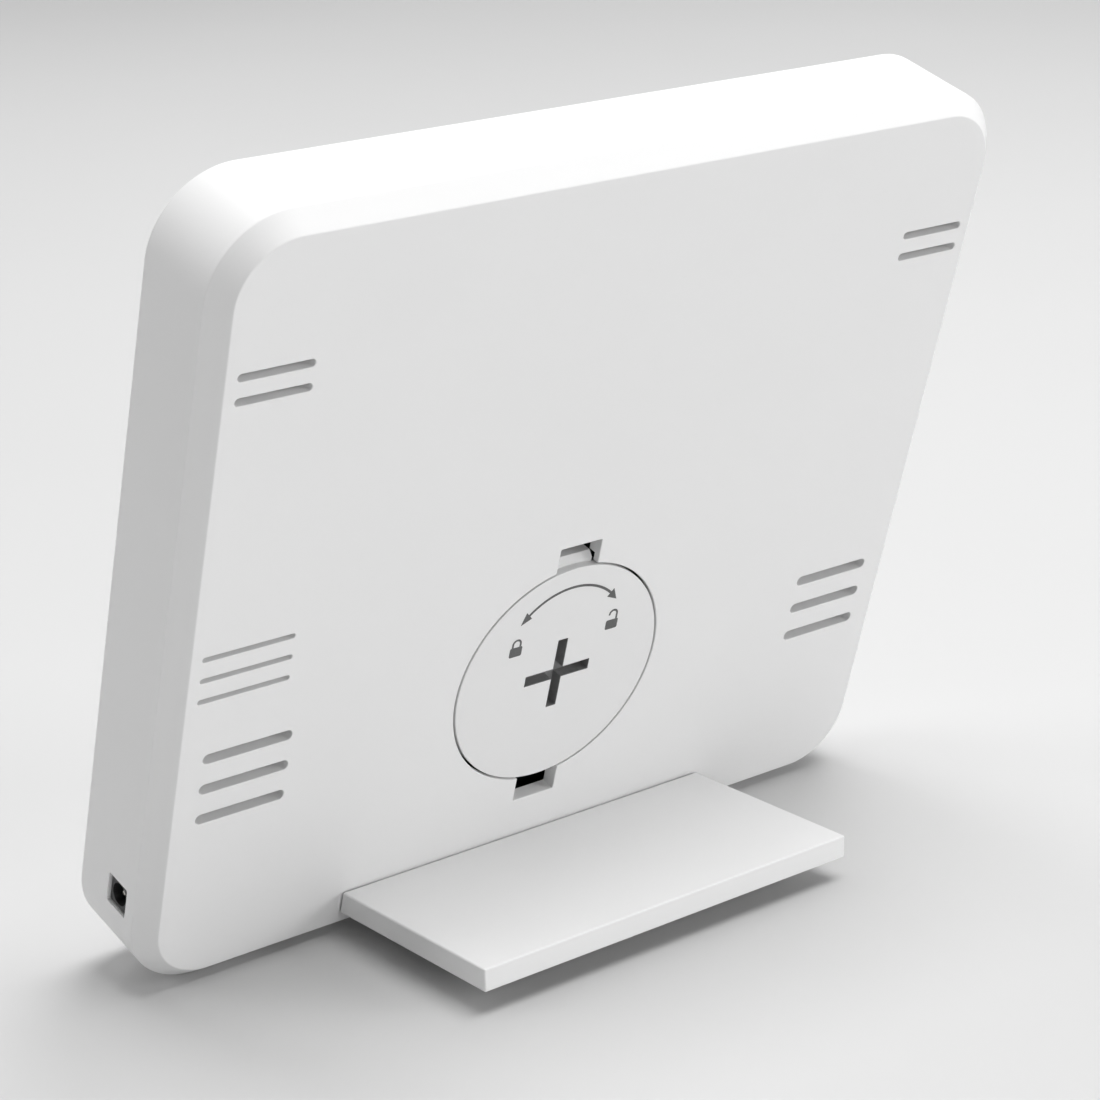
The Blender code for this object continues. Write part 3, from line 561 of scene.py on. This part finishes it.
SUN_RIGHT = 0.17  # from the picture's middle, in picture widths
SUN_RISE = 0.13  # and in picture heights
PICTURE_SHAPE = 0.75
DISC = (0.048, 0.042)  # the sun's soft edge, in picture widths
GLOW = (0.30, 0.02)

lit, shader = new_material("lit_picture", Roughness=0.2)
shader.inputs["Base Color"].default_value = (0.008, 0.008, 0.009, 1)
shader.inputs["Emission Strength"].default_value = 1.0
picture_middle = case_frame @ Vector((0, 0, SCREEN_MIDDLE))
place = add_node(lit, "TexCoord").outputs["Object"]
from_middle = add_node(lit, "VectorMath", {0: place, 1: picture_middle}, operation="SUBTRACT").outputs[0]


def maths(material, operation, first, second=0.0):
    return add_node(material, "Math", {0: first, 1: second}, operation=operation).outputs[0]


def along(direction, length):
    reach = add_node(lit, "VectorMath", {0: from_middle, 1: direction / length}, operation="DOT_PRODUCT")
    return reach.outputs["Value"]


def step_up(value, low, high):
    """0 below low, 1 above high and smooth between them."""
    inputs = {"Value": value, "From Min": low, "From Max": high}
    return add_node(lit, "MapRange", inputs, interpolation_type="SMOOTHSTEP").outputs["Result"]


picture_x = along(Vector((1, 0, 0)), SCREEN_WIDTH)
picture_y = along(upwards, SCREEN_HEIGHT)
sky = blend_colours(lit, step_up(picture_y, -0.1, 0.5), (0.95, 0.62, 0.36), (0.16, 0.36, 0.68))
stretched = add_node(lit, "Mapping", {"Vector": place, "Scale": (1, 1, 4)}).outputs[0]
clouds = add_node(lit, "TexNoise", {"Vector": stretched, "Scale": 45, "Detail": 5})
sky = blend_colours(lit, step_up(clouds.outputs["Fac"], 0.52, 0.72), sky, (0.98, 0.84, 0.74))
off_x = maths(lit, "SUBTRACT", picture_x, SUN_RIGHT)
off_y = maths(lit, "MULTIPLY", maths(lit, "SUBTRACT", picture_y, SUN_RISE), PICTURE_SHAPE)
squares = [maths(lit, "MULTIPLY", off, off) for off in (off_x, off_y)]
sun_way = maths(lit, "SQRT", maths(lit, "ADD", *squares))
sky = blend_colours(lit, step_up(sun_way, *GLOW), sky, (1.0, 0.80, 0.50))
view = blend_colours(lit, step_up(sun_way, *DISC), sky, (1.0, 0.95, 0.80))
# each range of hills, far to near: its seed, height, rise and fall, hills across, and two tones
for seed, level, swing, pitch, near, far in (
    (3.1, 0.03, 0.34, 3.0, (0.26, 0.27, 0.42), (0.44, 0.38, 0.50)),
    (7.7, -0.08, 0.30, 2.4, (0.12, 0.19, 0.25), (0.22, 0.28, 0.33)),
    (1.3, -0.20, 0.26, 1.9, (0.05, 0.12, 0.08), (0.10, 0.20, 0.13)),
    (5.9, -0.34, 0.20, 1.5, (0.03, 0.07, 0.02), (0.10, 0.16, 0.04)),
):
    run = maths(lit, "MULTIPLY_ADD", picture_x, pitch)
    run.node.inputs[2].default_value = seed
    swell = add_node(lit, "TexNoise", {"W": run, "Scale": 1, "Detail": 5}, noise_dimensions="1D")
    ridge = maths(lit, "MULTIPLY_ADD", maths(lit, "SUBTRACT", swell.outputs["Fac"], 0.5), swing)
    ridge.node.inputs[2].default_value = level
    above = maths(lit, "SUBTRACT", picture_y, ridge)
    slope = blend_colours(lit, step_up(above, -0.16, 0.0), near, far)
    grass = add_node(lit, "TexNoise", {"Vector": place, "Scale": 700, "Detail": 3}).outputs["Fac"]
    slope = blend_colours(lit, between(lit, grass, -0.15, 0.30), slope, near)
    view = blend_colours(lit, step_up(above, 0.003, -0.003), view, slope)
edge_x = step_up(maths(lit, "ABSOLUTE", picture_x), 0.501, 0.499)
edge_y = step_up(maths(lit, "ABSOLUTE", picture_y), 0.501, 0.499)
lit_area = maths(lit, "MULTIPLY", edge_x, edge_y)
connect(lit, blend_colours(lit, lit_area, (0.0, 0.0, 0.0), view), shader, "Emission Color")
dress(lit, "lcd_glass")


def metal(name, colour, low, high, feature, stretch=(1, 1, 1)):
    """Bare or plated metal with a fine grain, drawn out along one axis when stretched."""
    material, shader = new_material(name, Metallic=1.0)
    where = add_node(material, "TexCoord").outputs["Object"]
    drawn = add_node(material, "Mapping", {"Vector": where, "Scale": stretch}).outputs[0]
    marks = noise(material, feature, 4, drawn)
    darker = tuple(0.86 * part for part in colour)
    connect(material, blend_colours(material, marks, darker, colour), shader, "Base Color")
    connect(material, between(material, marks, low, high), shader, "Roughness")
    relief = add_node(material, "Bump", {"Height": marks, "Strength": 0.2, "Distance": 0.02 * MM})
    connect(material, relief.outputs["Normal"], shader, "Normal")
    return material


pressed_steel = metal("pressed_steel", (0.62, 0.63, 0.65), 0.28, 0.45, 0.0006, (0.05, 1, 1))
dress(pressed_steel, "lcd_frame", "lcd_back_plate")

film, shader = new_material("diffuser_film", Roughness=0.8)
dots = noise(film, 0.0003, 1)
connect(film, blend_colours(film, dots, (0.86, 0.86, 0.86), (0.93, 0.93, 0.93)), shader, "Base Color")
dress(film, "diffuser_sheet")

guide, shader = new_material("light_guide_acrylic", Roughness=0.08, Transmission_Weight=0.6)
shader.inputs["IOR"].default_value = 1.49
where = add_node(guide, "TexCoord").outputs["Object"]
dots = add_node(guide, "TexVoronoi", {"Vector": where, "Scale": 900}).outputs["Distance"]
etched = add_node(guide, "MapRange", {"Value": dots, "From Min": 0.2, "From Max": 0.3}).outputs[0]
tone = blend_colours(guide, etched, (0.95, 0.96, 0.96), (0.86, 0.90, 0.90))
connect(guide, tone, shader, "Base Color")
dress(guide, "light_guide")

strip, shader = new_material("lamp_strip", Roughness=0.5)
where = add_node(strip, "TexCoord").outputs["Object"]
run = add_node(strip, "TexWave", {"Vector": where, "Scale": 45}).outputs["Fac"]
lamps = add_node(strip, "MapRange", {"Value": run, "From Min": 0.8, "From Max": 0.9}).outputs[0]
connect(strip, blend_colours(strip, lamps, (0.88, 0.88, 0.84), (0.95, 0.80, 0.30)), shader, "Base Color")
dress(strip, "led_strip")


# ---------------------------------------------------------------- Circuit board and what is soldered to it
# One board screwed to four posts, with black solder mask over copper tracks. The processor, memory, coil,
# crystal, capacitors and sockets are soldered to it, and an amber ribbon joins it to the screen.

mask, shader = new_material("solder_mask", Roughness=0.38)
where = add_node(mask, "TexCoord").outputs["Object"]
flat = add_node(mask, "Mapping", {"Vector": where, "Scale": (1, 0, 1)}).outputs[0]
upright = add_node(mask, "Mapping", {"Vector": where, "Rotation": (math.pi / 2, 0, 0)}).outputs[0]
bands = {"Vector": upright, "Scale": 260, "Distortion": 0}
lines = add_node(mask, "TexWave", bands, bands_direction="DIAGONAL").outputs["Fac"]
tracks = add_node(mask, "MapRange", {"Value": lines, "From Min": 0.55, "From Max": 0.65}).outputs[0]
regions = add_node(mask, "TexVoronoi", {"Vector": flat, "Scale": 130}, distance="CHEBYCHEV")
red = add_node(mask, "SeparateColor", {0: regions.outputs["Color"]}).outputs[0]
patch = maths(mask, "GREATER_THAN", red, 0.5)
copper = maths(mask, "MULTIPLY", tracks, patch)
pads = add_node(mask, "TexVoronoi", {"Vector": flat, "Scale": 330, "Randomness": 0.6})
pad = maths(mask, "LESS_THAN", pads.outputs["Distance"], 0.14)
base = blend_colours(mask, copper, (0.010, 0.018, 0.014), (0.030, 0.050, 0.036))
connect(mask, blend_colours(mask, pad, base, (0.62, 0.52, 0.26)), shader, "Base Color")
connect(mask, pad, shader, "Metallic")
bump = add_node(mask, "Bump", {"Height": copper, "Strength": 0.6, "Distance": 0.04 * MM})
connect(mask, bump.outputs["Normal"], shader, "Normal")
dress(mask, "main_board")


def moulded(name, dark, light, roughness, feature=0.0004):
    """A small moulded or sintered piece: two close tones, and a fine matt grain."""
    material, shader = new_material(name, Roughness=roughness)
    specks = noise(material, feature, 3)
    connect(material, blend_colours(material, specks, dark, light), shader, "Base Color")
    relief = add_node(material, "Bump", {"Height": specks, "Strength": 0.3, "Distance": 0.03 * MM})
    connect(material, relief.outputs["Normal"], shader, "Normal")
    return material


dress(moulded("chip_epoxy", (0.016, 0.016, 0.017), (0.028, 0.028, 0.030), 0.55, 0.0002),
      "processor", "memory_chip", "flash_chip")
dress(moulded("ferrite", (0.06, 0.06, 0.065), (0.12, 0.12, 0.13), 0.6), "power_coil")
dress(moulded("ivory_nylon", (0.72, 0.68, 0.57), (0.78, 0.75, 0.66), 0.5),
      "flex_connector", "speaker_connector_left", "speaker_connector_right")
dress(metal("plated_can", (0.75, 0.75, 0.77), 0.18, 0.32, 0.0005), "crystal", "capacitor_1", "capacitor_2")

ribbon, shader = new_material("amber_ribbon", Roughness=0.35)
where = add_node(ribbon, "TexCoord").outputs["Object"]
ways = add_node(ribbon, "TexWave", {"Vector": where, "Scale": 320}).outputs["Fac"]
way = add_node(ribbon, "MapRange", {"Value": ways, "From Min": 0.4, "From Max": 0.6}).outputs[0]
connect(ribbon, blend_colours(ribbon, way, (0.50, 0.24, 0.04), (0.66, 0.36, 0.12)), shader, "Base Color")
dress(ribbon, "display_flex")


# ---------------------------------------------------------------- Power jack
# A black nylon socket on the board's cut corner, for a small barrel plug. Its nose fills the square opening
# in the housing's side wall, and a plated pin stands in its bore.

black_nylon = moulded("black_nylon", (0.020, 0.020, 0.021), (0.030, 0.030, 0.031), 0.5)
dress(black_nylon, "power_jack")
plated = metal("nickel_plate", (0.80, 0.78, 0.73), 0.16, 0.30, 0.0004)
dress(plated, "jack_pin")


# ---------------------------------------------------------------- Speakers
# Two small flat speakers behind the lower slots: a black tray each, with a coated paper cone. A lead with
# soft red insulation comes to each from its own socket on the board, and is one tube here for the two
# wires.

dress(black_nylon, "speaker_frame_left", "speaker_frame_right")
cone = moulded("coated_paper", (0.020, 0.020, 0.022), (0.050, 0.050, 0.054), 0.75, 0.0008)
dress(cone, "speaker_cone_left", "speaker_cone_right")
red_vinyl = moulded("lead_vinyl", (0.22, 0.016, 0.014), (0.30, 0.024, 0.020), 0.45)
dress(red_vinyl, "speaker_lead_left", "speaker_lead_right")


# ---------------------------------------------------------------- Screws
# Zinc-plated self-tapping screws: four hold the board to the housing's posts, and two hold the foot's
# tongue in the bottom of the case.

zinc = metal("zinc_plate", (0.60, 0.60, 0.62), 0.25, 0.40, 0.0005)
dress(zinc, *(f"board_screw_{number}" for number in (1, 2, 3, 4)), "foot_screw_left", "foot_screw_right")


# ---------------------------------------------------------------- Coin cell and its holder
# The clock's coin cell sits in a low black nylon cup on the board, on a sprung plated tongue and against a
# plated clip. The cell is a nickel-plated steel can, crimped over an insulating ring at its front edge.

dress(black_nylon, "battery_holder")
dress(plated, "cell_spring", "cell_clip")

CELL_RADIUS = 10 * MM
CELL_FRONT = 11.6 * MM
CELL_BACK = 14.1 * MM
CAP_RADIUS = 8.4 * MM
RING_GROOVE = 0.35 * MM
CRIMP_RADIUS = 9.2 * MM
CRIMP_SLOPE = 0.5 * MM
STAMPED_RADIUS = 8.9 * MM
STAMPED_DEPTH = 0.06 * MM

cell_profile = [(CAP_RADIUS, CELL_FRONT), (CAP_RADIUS + 0.1 * MM, CELL_FRONT + RING_GROOVE)]
cell_profile += [(CRIMP_RADIUS - 0.2 * MM, CELL_FRONT + RING_GROOVE), (CRIMP_RADIUS, CELL_FRONT)]
cell_profile += [(CELL_RADIUS, CELL_FRONT + CRIMP_SLOPE), (CELL_RADIUS, CELL_BACK)]
cell_profile += [(STAMPED_RADIUS + 0.2 * MM, CELL_BACK), (STAMPED_RADIUS, CELL_BACK - STAMPED_DEPTH)]
cell_profile.append((STAMPED_RADIUS - 0.9 * MM, CELL_BACK - STAMPED_DEPTH))
rings = [at_depth(circle(reach, hub_place, 96), depth) for reach, depth in eased(cell_profile, 0.35 * MM)]
cell = solid("coin_cell_can", skin(rings))
bright_can = metal("cell_steel", (0.74, 0.74, 0.76), 0.16, 0.30, 0.0008, (1, 1, 0.08))
finished(cell, bright_can, "case", "coin_cell")


# ---------------------------------------------------------------- Battery cover
# A round ABS lid set flush in the rear face. A coin turns it by the moulded cross, whose walls and floor are
# painted dark as painted shade for the deep recess. Two tabs on its skirt come in through the notches and
# turn under the housing's lip. A double arrow and two padlocks are printed on it.

COVER_RADIUS = 18.84 * MM
COVER_THICKNESS = 1.5 * MM
LID_SKIRT_INSIDE = 16.6 * MM
LID_SKIRT_OUTSIDE = 18.2 * MM
SKIRT_DEPTH = 3.8 * MM
TAB_ROOT = 17.4 * MM
TAB_REACH = 20 * MM
TAB_WIDTH = 7.4 * MM
TAB_BACK = 1.35 * MM  # below the outer face
TAB_RAMP = 0.8 * MM
CROSS_REACH = 6.1 * MM
CROSS_WIDTH = 1.8 * MM
CROSS_DEPTH = 1.9 * MM
BOSS_RADIUS = 7 * MM  # the boss inside the lid that the cross is sunk in
BOSS_BACK = 2.6 * MM
hub_frame = Matrix.Translation(hub) @ case_axes  # the cover's own frame, with y 0 at its outer face

lid_profile = [(6 * MM, -BOSS_BACK), (BOSS_RADIUS, -BOSS_BACK), (BOSS_RADIUS, -COVER_THICKNESS)]
lid_profile += [(LID_SKIRT_INSIDE, -COVER_THICKNESS), (LID_SKIRT_INSIDE, -SKIRT_DEPTH)]
lid_profile += [(LID_SKIRT_OUTSIDE, -SKIRT_DEPTH), (LID_SKIRT_OUTSIDE, -COVER_THICKNESS)]
lid_profile.append((COVER_RADIUS, -COVER_THICKNESS))
lid_profile += [(COVER_RADIUS, 0), (17 * MM, 0)]
rings = [at_depth(circle(reach, steps=192), depth) for reach, depth in eased(lid_profile, 0.18 * MM)]
lid = solid("cover_lid", skin(rings), hub_frame)
for end in (-1, 1):
    root, tip, ramp = end * TAB_ROOT, end * TAB_REACH, end * TAB_RAMP
    side = [(-SKIRT_DEPTH, root), (-SKIRT_DEPTH, tip), (-TAB_BACK - TAB_RAMP, tip), (-TAB_BACK, tip - ramp)]
    side.append((-TAB_BACK, root))
    rings = [across(side, x) for x in (-TAB_WIDTH / 2, TAB_WIDTH / 2)]
    shaped(lid, [solid("tab", skin(rings), hub_frame)], "UNION")


def cross_at(grown):
    arm, half = CROSS_REACH + grown, CROSS_WIDTH / 2 + grown
    quarter = [(arm, half), (half, half), (half, arm), (-half, arm), (-half, half), (-arm, half)]
    return quarter + [(-x, -z) for x, z in quarter]


shaped(lid, [solid("cross_cutter", flared(cross_at, 0, -CROSS_DEPTH), hub_frame)])
cover_abs, shader = new_material("cover_abs", Roughness=0.5)
shader.inputs["Specular IOR Level"].default_value = 0.3
tone = blend_colours(cover_abs, noise(cover_abs, 0.02, 3), (0.765, 0.765, 0.765), (0.782, 0.782, 0.782))
connect(cover_abs, tone, shader, "Base Color")
connect(cover_abs, between(cover_abs, noise(cover_abs, 0.005, 4), 0.44, 0.56), shader, "Roughness")
grain = noise(cover_abs, 0.0004, 2)
bump = add_node(cover_abs, "Bump", {"Height": grain, "Strength": 0.25, "Distance": 0.02 * MM})
connect(cover_abs, bump.outputs["Normal"], shader, "Normal")
finished(lid, cover_abs, "cover", "battery_cover")

ARROW_RADIUS = 11.6 * MM
ARROW_RISE = 3.9 * MM  # of the arrow's centre over the cover's
ARROW_SWEEP = math.radians(42)
ARROW_LINE = 0.42 * MM
HEAD_LENGTH = math.radians(10)
HEAD_WIDTH = 1.7 * MM
LOCK_X = 9.2 * MM
LOCK_RISE = 6.4 * MM
LOCK_WIDTH = 2.3 * MM
LOCK_HEIGHT = 1.7 * MM
BOW_RADIUS = 0.72 * MM  # to the middle of its line
BOW_LINE = 0.34 * MM
PRINT_LIFT = 0.005 * MM  # of the ink's underside over the lid
PRINT_TOP = 0.03 * MM


def round_arrow():
    """The outline of an arc with a pointed head at each end."""
    def at(angle, reach):
        return (reach * math.sin(angle), ARROW_RISE + reach * math.cos(angle))

    half = ARROW_LINE / 2
    sweep = [ARROW_SWEEP * (step / 24 - 1) for step in range(49)]
    outline = [at(angle, ARROW_RADIUS + half) for angle in sweep]
    wide, narrow = ARROW_RADIUS + HEAD_WIDTH / 2, ARROW_RADIUS - HEAD_WIDTH / 2
    tip = ARROW_SWEEP + HEAD_LENGTH
    outline += [at(ARROW_SWEEP, wide), at(tip, ARROW_RADIUS), at(ARROW_SWEEP, narrow)]
    outline += [at(angle, ARROW_RADIUS - half) for angle in reversed(sweep)]
    outline += [at(-ARROW_SWEEP, narrow), at(-tip, ARROW_RADIUS), at(-ARROW_SWEEP, wide)]
    return outline


def padlock(x, lifted):
    """A padlock's body, and its bow, which stands free of the body on one side when it is open."""
    body = rounded(LOCK_WIDTH, LOCK_HEIGHT, 0.25 * MM, (x, LOCK_RISE), steps=3)
    outside, inside = BOW_RADIUS + BOW_LINE / 2, BOW_RADIUS - BOW_LINE / 2
    spring = LOCK_RISE + 0.85 * MM + (1.0 * MM if lifted else 0.55 * MM)
    low_left = LOCK_RISE + 0.88 * MM
    low_right = spring - 0.1 * MM if lifted else low_left
    arc = [math.pi * step / 12 for step in range(13)]
    bow = [(x + outside, low_right)]
    bow += [(x + outside * math.cos(a), spring + outside * math.sin(a)) for a in arc]
    bow += [(x - outside, low_left), (x - inside, low_left)]
    bow += [(x - inside * math.cos(a), spring + inside * math.sin(a)) for a in arc]
    bow.append((x + inside, low_right))
    return [body, bow]


marks = bmesh.new()
for outline in [round_arrow(), *padlock(LOCK_X, lifted=False), *padlock(-LOCK_X, lifted=True)]:
    rows = [[marks.verts.new((x, depth, z)) for x, z in outline] for depth in (PRINT_LIFT, PRINT_TOP)]
    marks.faces.new(rows[0])
    marks.faces.new(rows[1])
    for i in range(len(outline)):
        j = (i + 1) % len(outline)
        marks.faces.new((rows[0][i], rows[0][j], rows[1][j], rows[1][i]))
bmesh.ops.recalc_face_normals(marks, faces=marks.faces)
printed_marks = solid("cover_marks", marks, hub_frame)
grey_ink, shader = new_material("grey_print", Roughness=0.6)
tone = blend_colours(grey_ink, noise(grey_ink, 0.0003, 2), (0.085, 0.085, 0.085), (0.125, 0.125, 0.125))
connect(grey_ink, tone, shader, "Base Color")
finished(printed_marks, grey_ink, "cover")

# Painted shade: the cross recess's faces get a dark grey that stands in for the shade deep inside it, not
# ink
cross_shade_paint, shader = new_material("cross_shade_paint", Roughness=0.7)
tone = blend_colours(cross_shade_paint, noise(cross_shade_paint, 0.0008, 3), (0.16, 0.16, 0.16), (0.24, 0.24, 0.24))
connect(cross_shade_paint, tone, shader, "Base Color")
lid.data.materials.append(cross_shade_paint)
to_hub = hub_frame.inverted()
for face in lid.data.polygons:
    place = to_hub @ face.center
    in_cross = max(abs(place.x), abs(place.z)) < CROSS_REACH + RIM
    if in_cross and -CROSS_DEPTH - RIM < place.y < -0.3 * RIM:
        face.material_index = 1


# ---------------------------------------------------------------- Foot
# A flat ABS plate with square edges, which holds the case up from behind. Its tongue goes through a slot in
# the rear face and is screwed down inside. Two rubber pads plug into its underside.

FOOT_WIDTH = 70 * MM
FOOT_UNDERSIDE = 3.7 * MM
FOOT_TOP = 7.3 * MM
FOOT_EDGE = 0.3 * MM
FOOT_GAP = 0.3 * MM  # between the plate and the rear face
TONGUE_FRONT = -4.3 * MM
TONGUE_BACK = 10 * MM
TONGUE_SCREW = (20 * MM, -1 * MM)
SCREW_HOLE = 1.2 * MM
PAD_PLACE = (24 * MM, 26.5 * MM)
PAD_HOLE = 1.8 * MM
PAD_HOLE_DEPTH = 2 * MM
BELOW_FOOT = 3 * MM  # where the holes' cutters start
ABOVE_FOOT = 8 * MM
foot_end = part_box("stand_foot")[1].y - rest_y
lean = math.asin(-outwards.z)


def rear_face_y(z):
    """How far back the leaning rear face is at a height over the table."""
    return REAR_CHAMFER * math.cos(lean) + (z + REAR_CHAMFER * math.sin(lean)) * math.tan(lean)


def foot_side(shrink, steps=4):
    """The plate in side view, as (y, z) points with rounded corners, shrunk by a distance on every side."""
    low, high = FOOT_UNDERSIDE + shrink, FOOT_TOP - shrink
    spare = (FOOT_GAP + shrink) / math.cos(lean)
    corners = [(foot_end - shrink, low), (foot_end - shrink, high)]
    corners += [(rear_face_y(high) + spare, high), (rear_face_y(low) + spare, low)]
    points = []
    for before, corner, after in zip(corners[-1:] + corners, corners, corners[1:] + corners[:1]):
        a, c, b = Vector(before), Vector(corner), Vector(after)
        run = FOOT_EDGE - 0.6 * shrink
        first, last = c + (a - c).normalized() * run, c + (b - c).normalized() * run
        for step in range(steps + 1):
            share = step / steps
            points.append(tuple(first.lerp(c, share).lerp(c.lerp(last, share), share)))
    return points


rings = []
for end in (-1, 1):
    ease = [(FOOT_EDGE * (1 - math.cos(a)), FOOT_EDGE * (1 - math.sin(a)))
            for a in (math.radians(22.5 * step) for step in range(5))]
    ends = [across(foot_side(shrink), end * (FOOT_WIDTH / 2 - inwards)) for inwards, shrink in ease]
    rings += ends if end < 0 else ends[::-1]
foot = solid("foot_plate", skin(rings), table_frame)
half = TONGUE_WIDTH / 2
tongue = slab(-half, half, TONGUE_FRONT, TONGUE_BACK, TONGUE_LOW, TONGUE_TOP)
shaped(foot, [solid("tongue", tongue, table_frame)], "UNION")


def upright_hole(radius, x, y, z_low, z_high):
    return skin([[(px, py, z) for px, py in circle(radius, (x, y), 48)] for z in (z_low, z_high)])


holes = []
for radius, (x, y), top in (
    (SCREW_HOLE, TONGUE_SCREW, ABOVE_FOOT),
    (PAD_HOLE, PAD_PLACE, FOOT_UNDERSIDE + PAD_HOLE_DEPTH),
):
    holes += [upright_hole(radius, end * x, y, BELOW_FOOT, top) for end in (-1, 1)]
shaped(foot, [solid("hole", hole, table_frame) for hole in holes])
foot_abs = fine_abs.copy()
foot_abs.name = "foot_abs"
finished(foot, foot_abs, "case", "stand_foot")

rubber = moulded("pad_rubber", (0.035, 0.035, 0.036), (0.060, 0.060, 0.062), 0.85, 0.0006)
dress(rubber, "foot_pad_left", "foot_pad_right")
